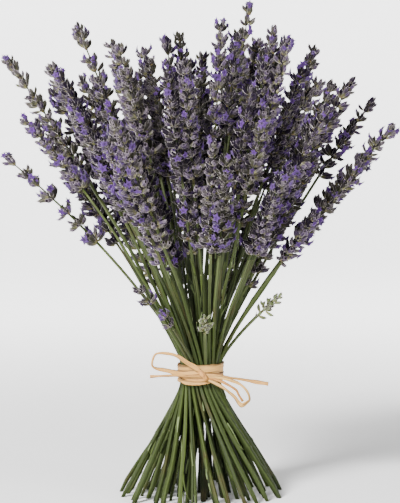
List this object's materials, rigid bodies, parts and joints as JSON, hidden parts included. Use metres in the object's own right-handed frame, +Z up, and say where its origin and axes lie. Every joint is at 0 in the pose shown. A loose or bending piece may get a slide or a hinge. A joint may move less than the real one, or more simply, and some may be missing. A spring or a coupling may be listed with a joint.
{
  "type": "dried lavender bunch",
  "caption": "Sheaf of dried lavender tied round the middle with a raffia bow; it stands on its spread cut stems and fans out above into violet-grey flower spikes.",
  "frame": {"origin": "On the surface the bunch stands on, under the middle of its outline seen from above.", "axes": "+Z up, along the stems. -Y is the front, where the bow is. +X is to the right seen from the front."},
  "size_m": [0.313, 0.2484, 0.397],
  "materials": {
    "stem": "matte",
    "spike": "matte",
    "raffia": "matte"
  },
  "bodies": {
    "root": {"stems": "stem", "raffia_tie": "raffia", "spikes_01": "spike", "spikes_02": "spike", "spikes_03": "spike", "spikes_04": "spike", "spikes_05": "spike", "spikes_06": "spike", "spikes_07": "spike", "spikes_08": "spike", "spikes_09": "spike", "spikes_10": "spike", "spikes_11": "spike", "spikes_12": "spike", "spikes_13": "spike", "spikes_14": "spike", "spikes_15": "spike", "spikes_16": "spike", "spikes_17": "spike", "spikes_18": "spike", "spikes_19": "spike", "spikes_20": "spike", "spikes_21": "spike", "spikes_22": "spike", "spikes_23": "spike", "spikes_24": "spike", "spikes_25": "spike", "spikes_26": "spike", "spikes_27": "spike", "spikes_28": "spike", "spikes_29": "spike", "spikes_30": "spike", "spikes_31": "spike", "spikes_32": "spike", "spikes_33": "spike", "spikes_34": "spike", "spikes_35": "spike", "spikes_36": "spike", "spikes_37": "spike", "spikes_38": "spike", "spikes_39": "spike", "spikes_40": "spike", "spikes_41": "spike", "spikes_42": "spike", "spikes_43": "spike", "spikes_44": "spike", "spikes_45": "spike", "spikes_46": "spike", "spikes_47": "spike", "spikes_48": "spike", "spikes_49": "spike", "spikes_50": "spike", "spikes_51": "spike", "spikes_52": "spike", "spikes_53": "spike", "spikes_54": "spike", "spikes_55": "spike", "spikes_56": "spike", "spikes_57": "spike"}
  },
  "joints": []
}
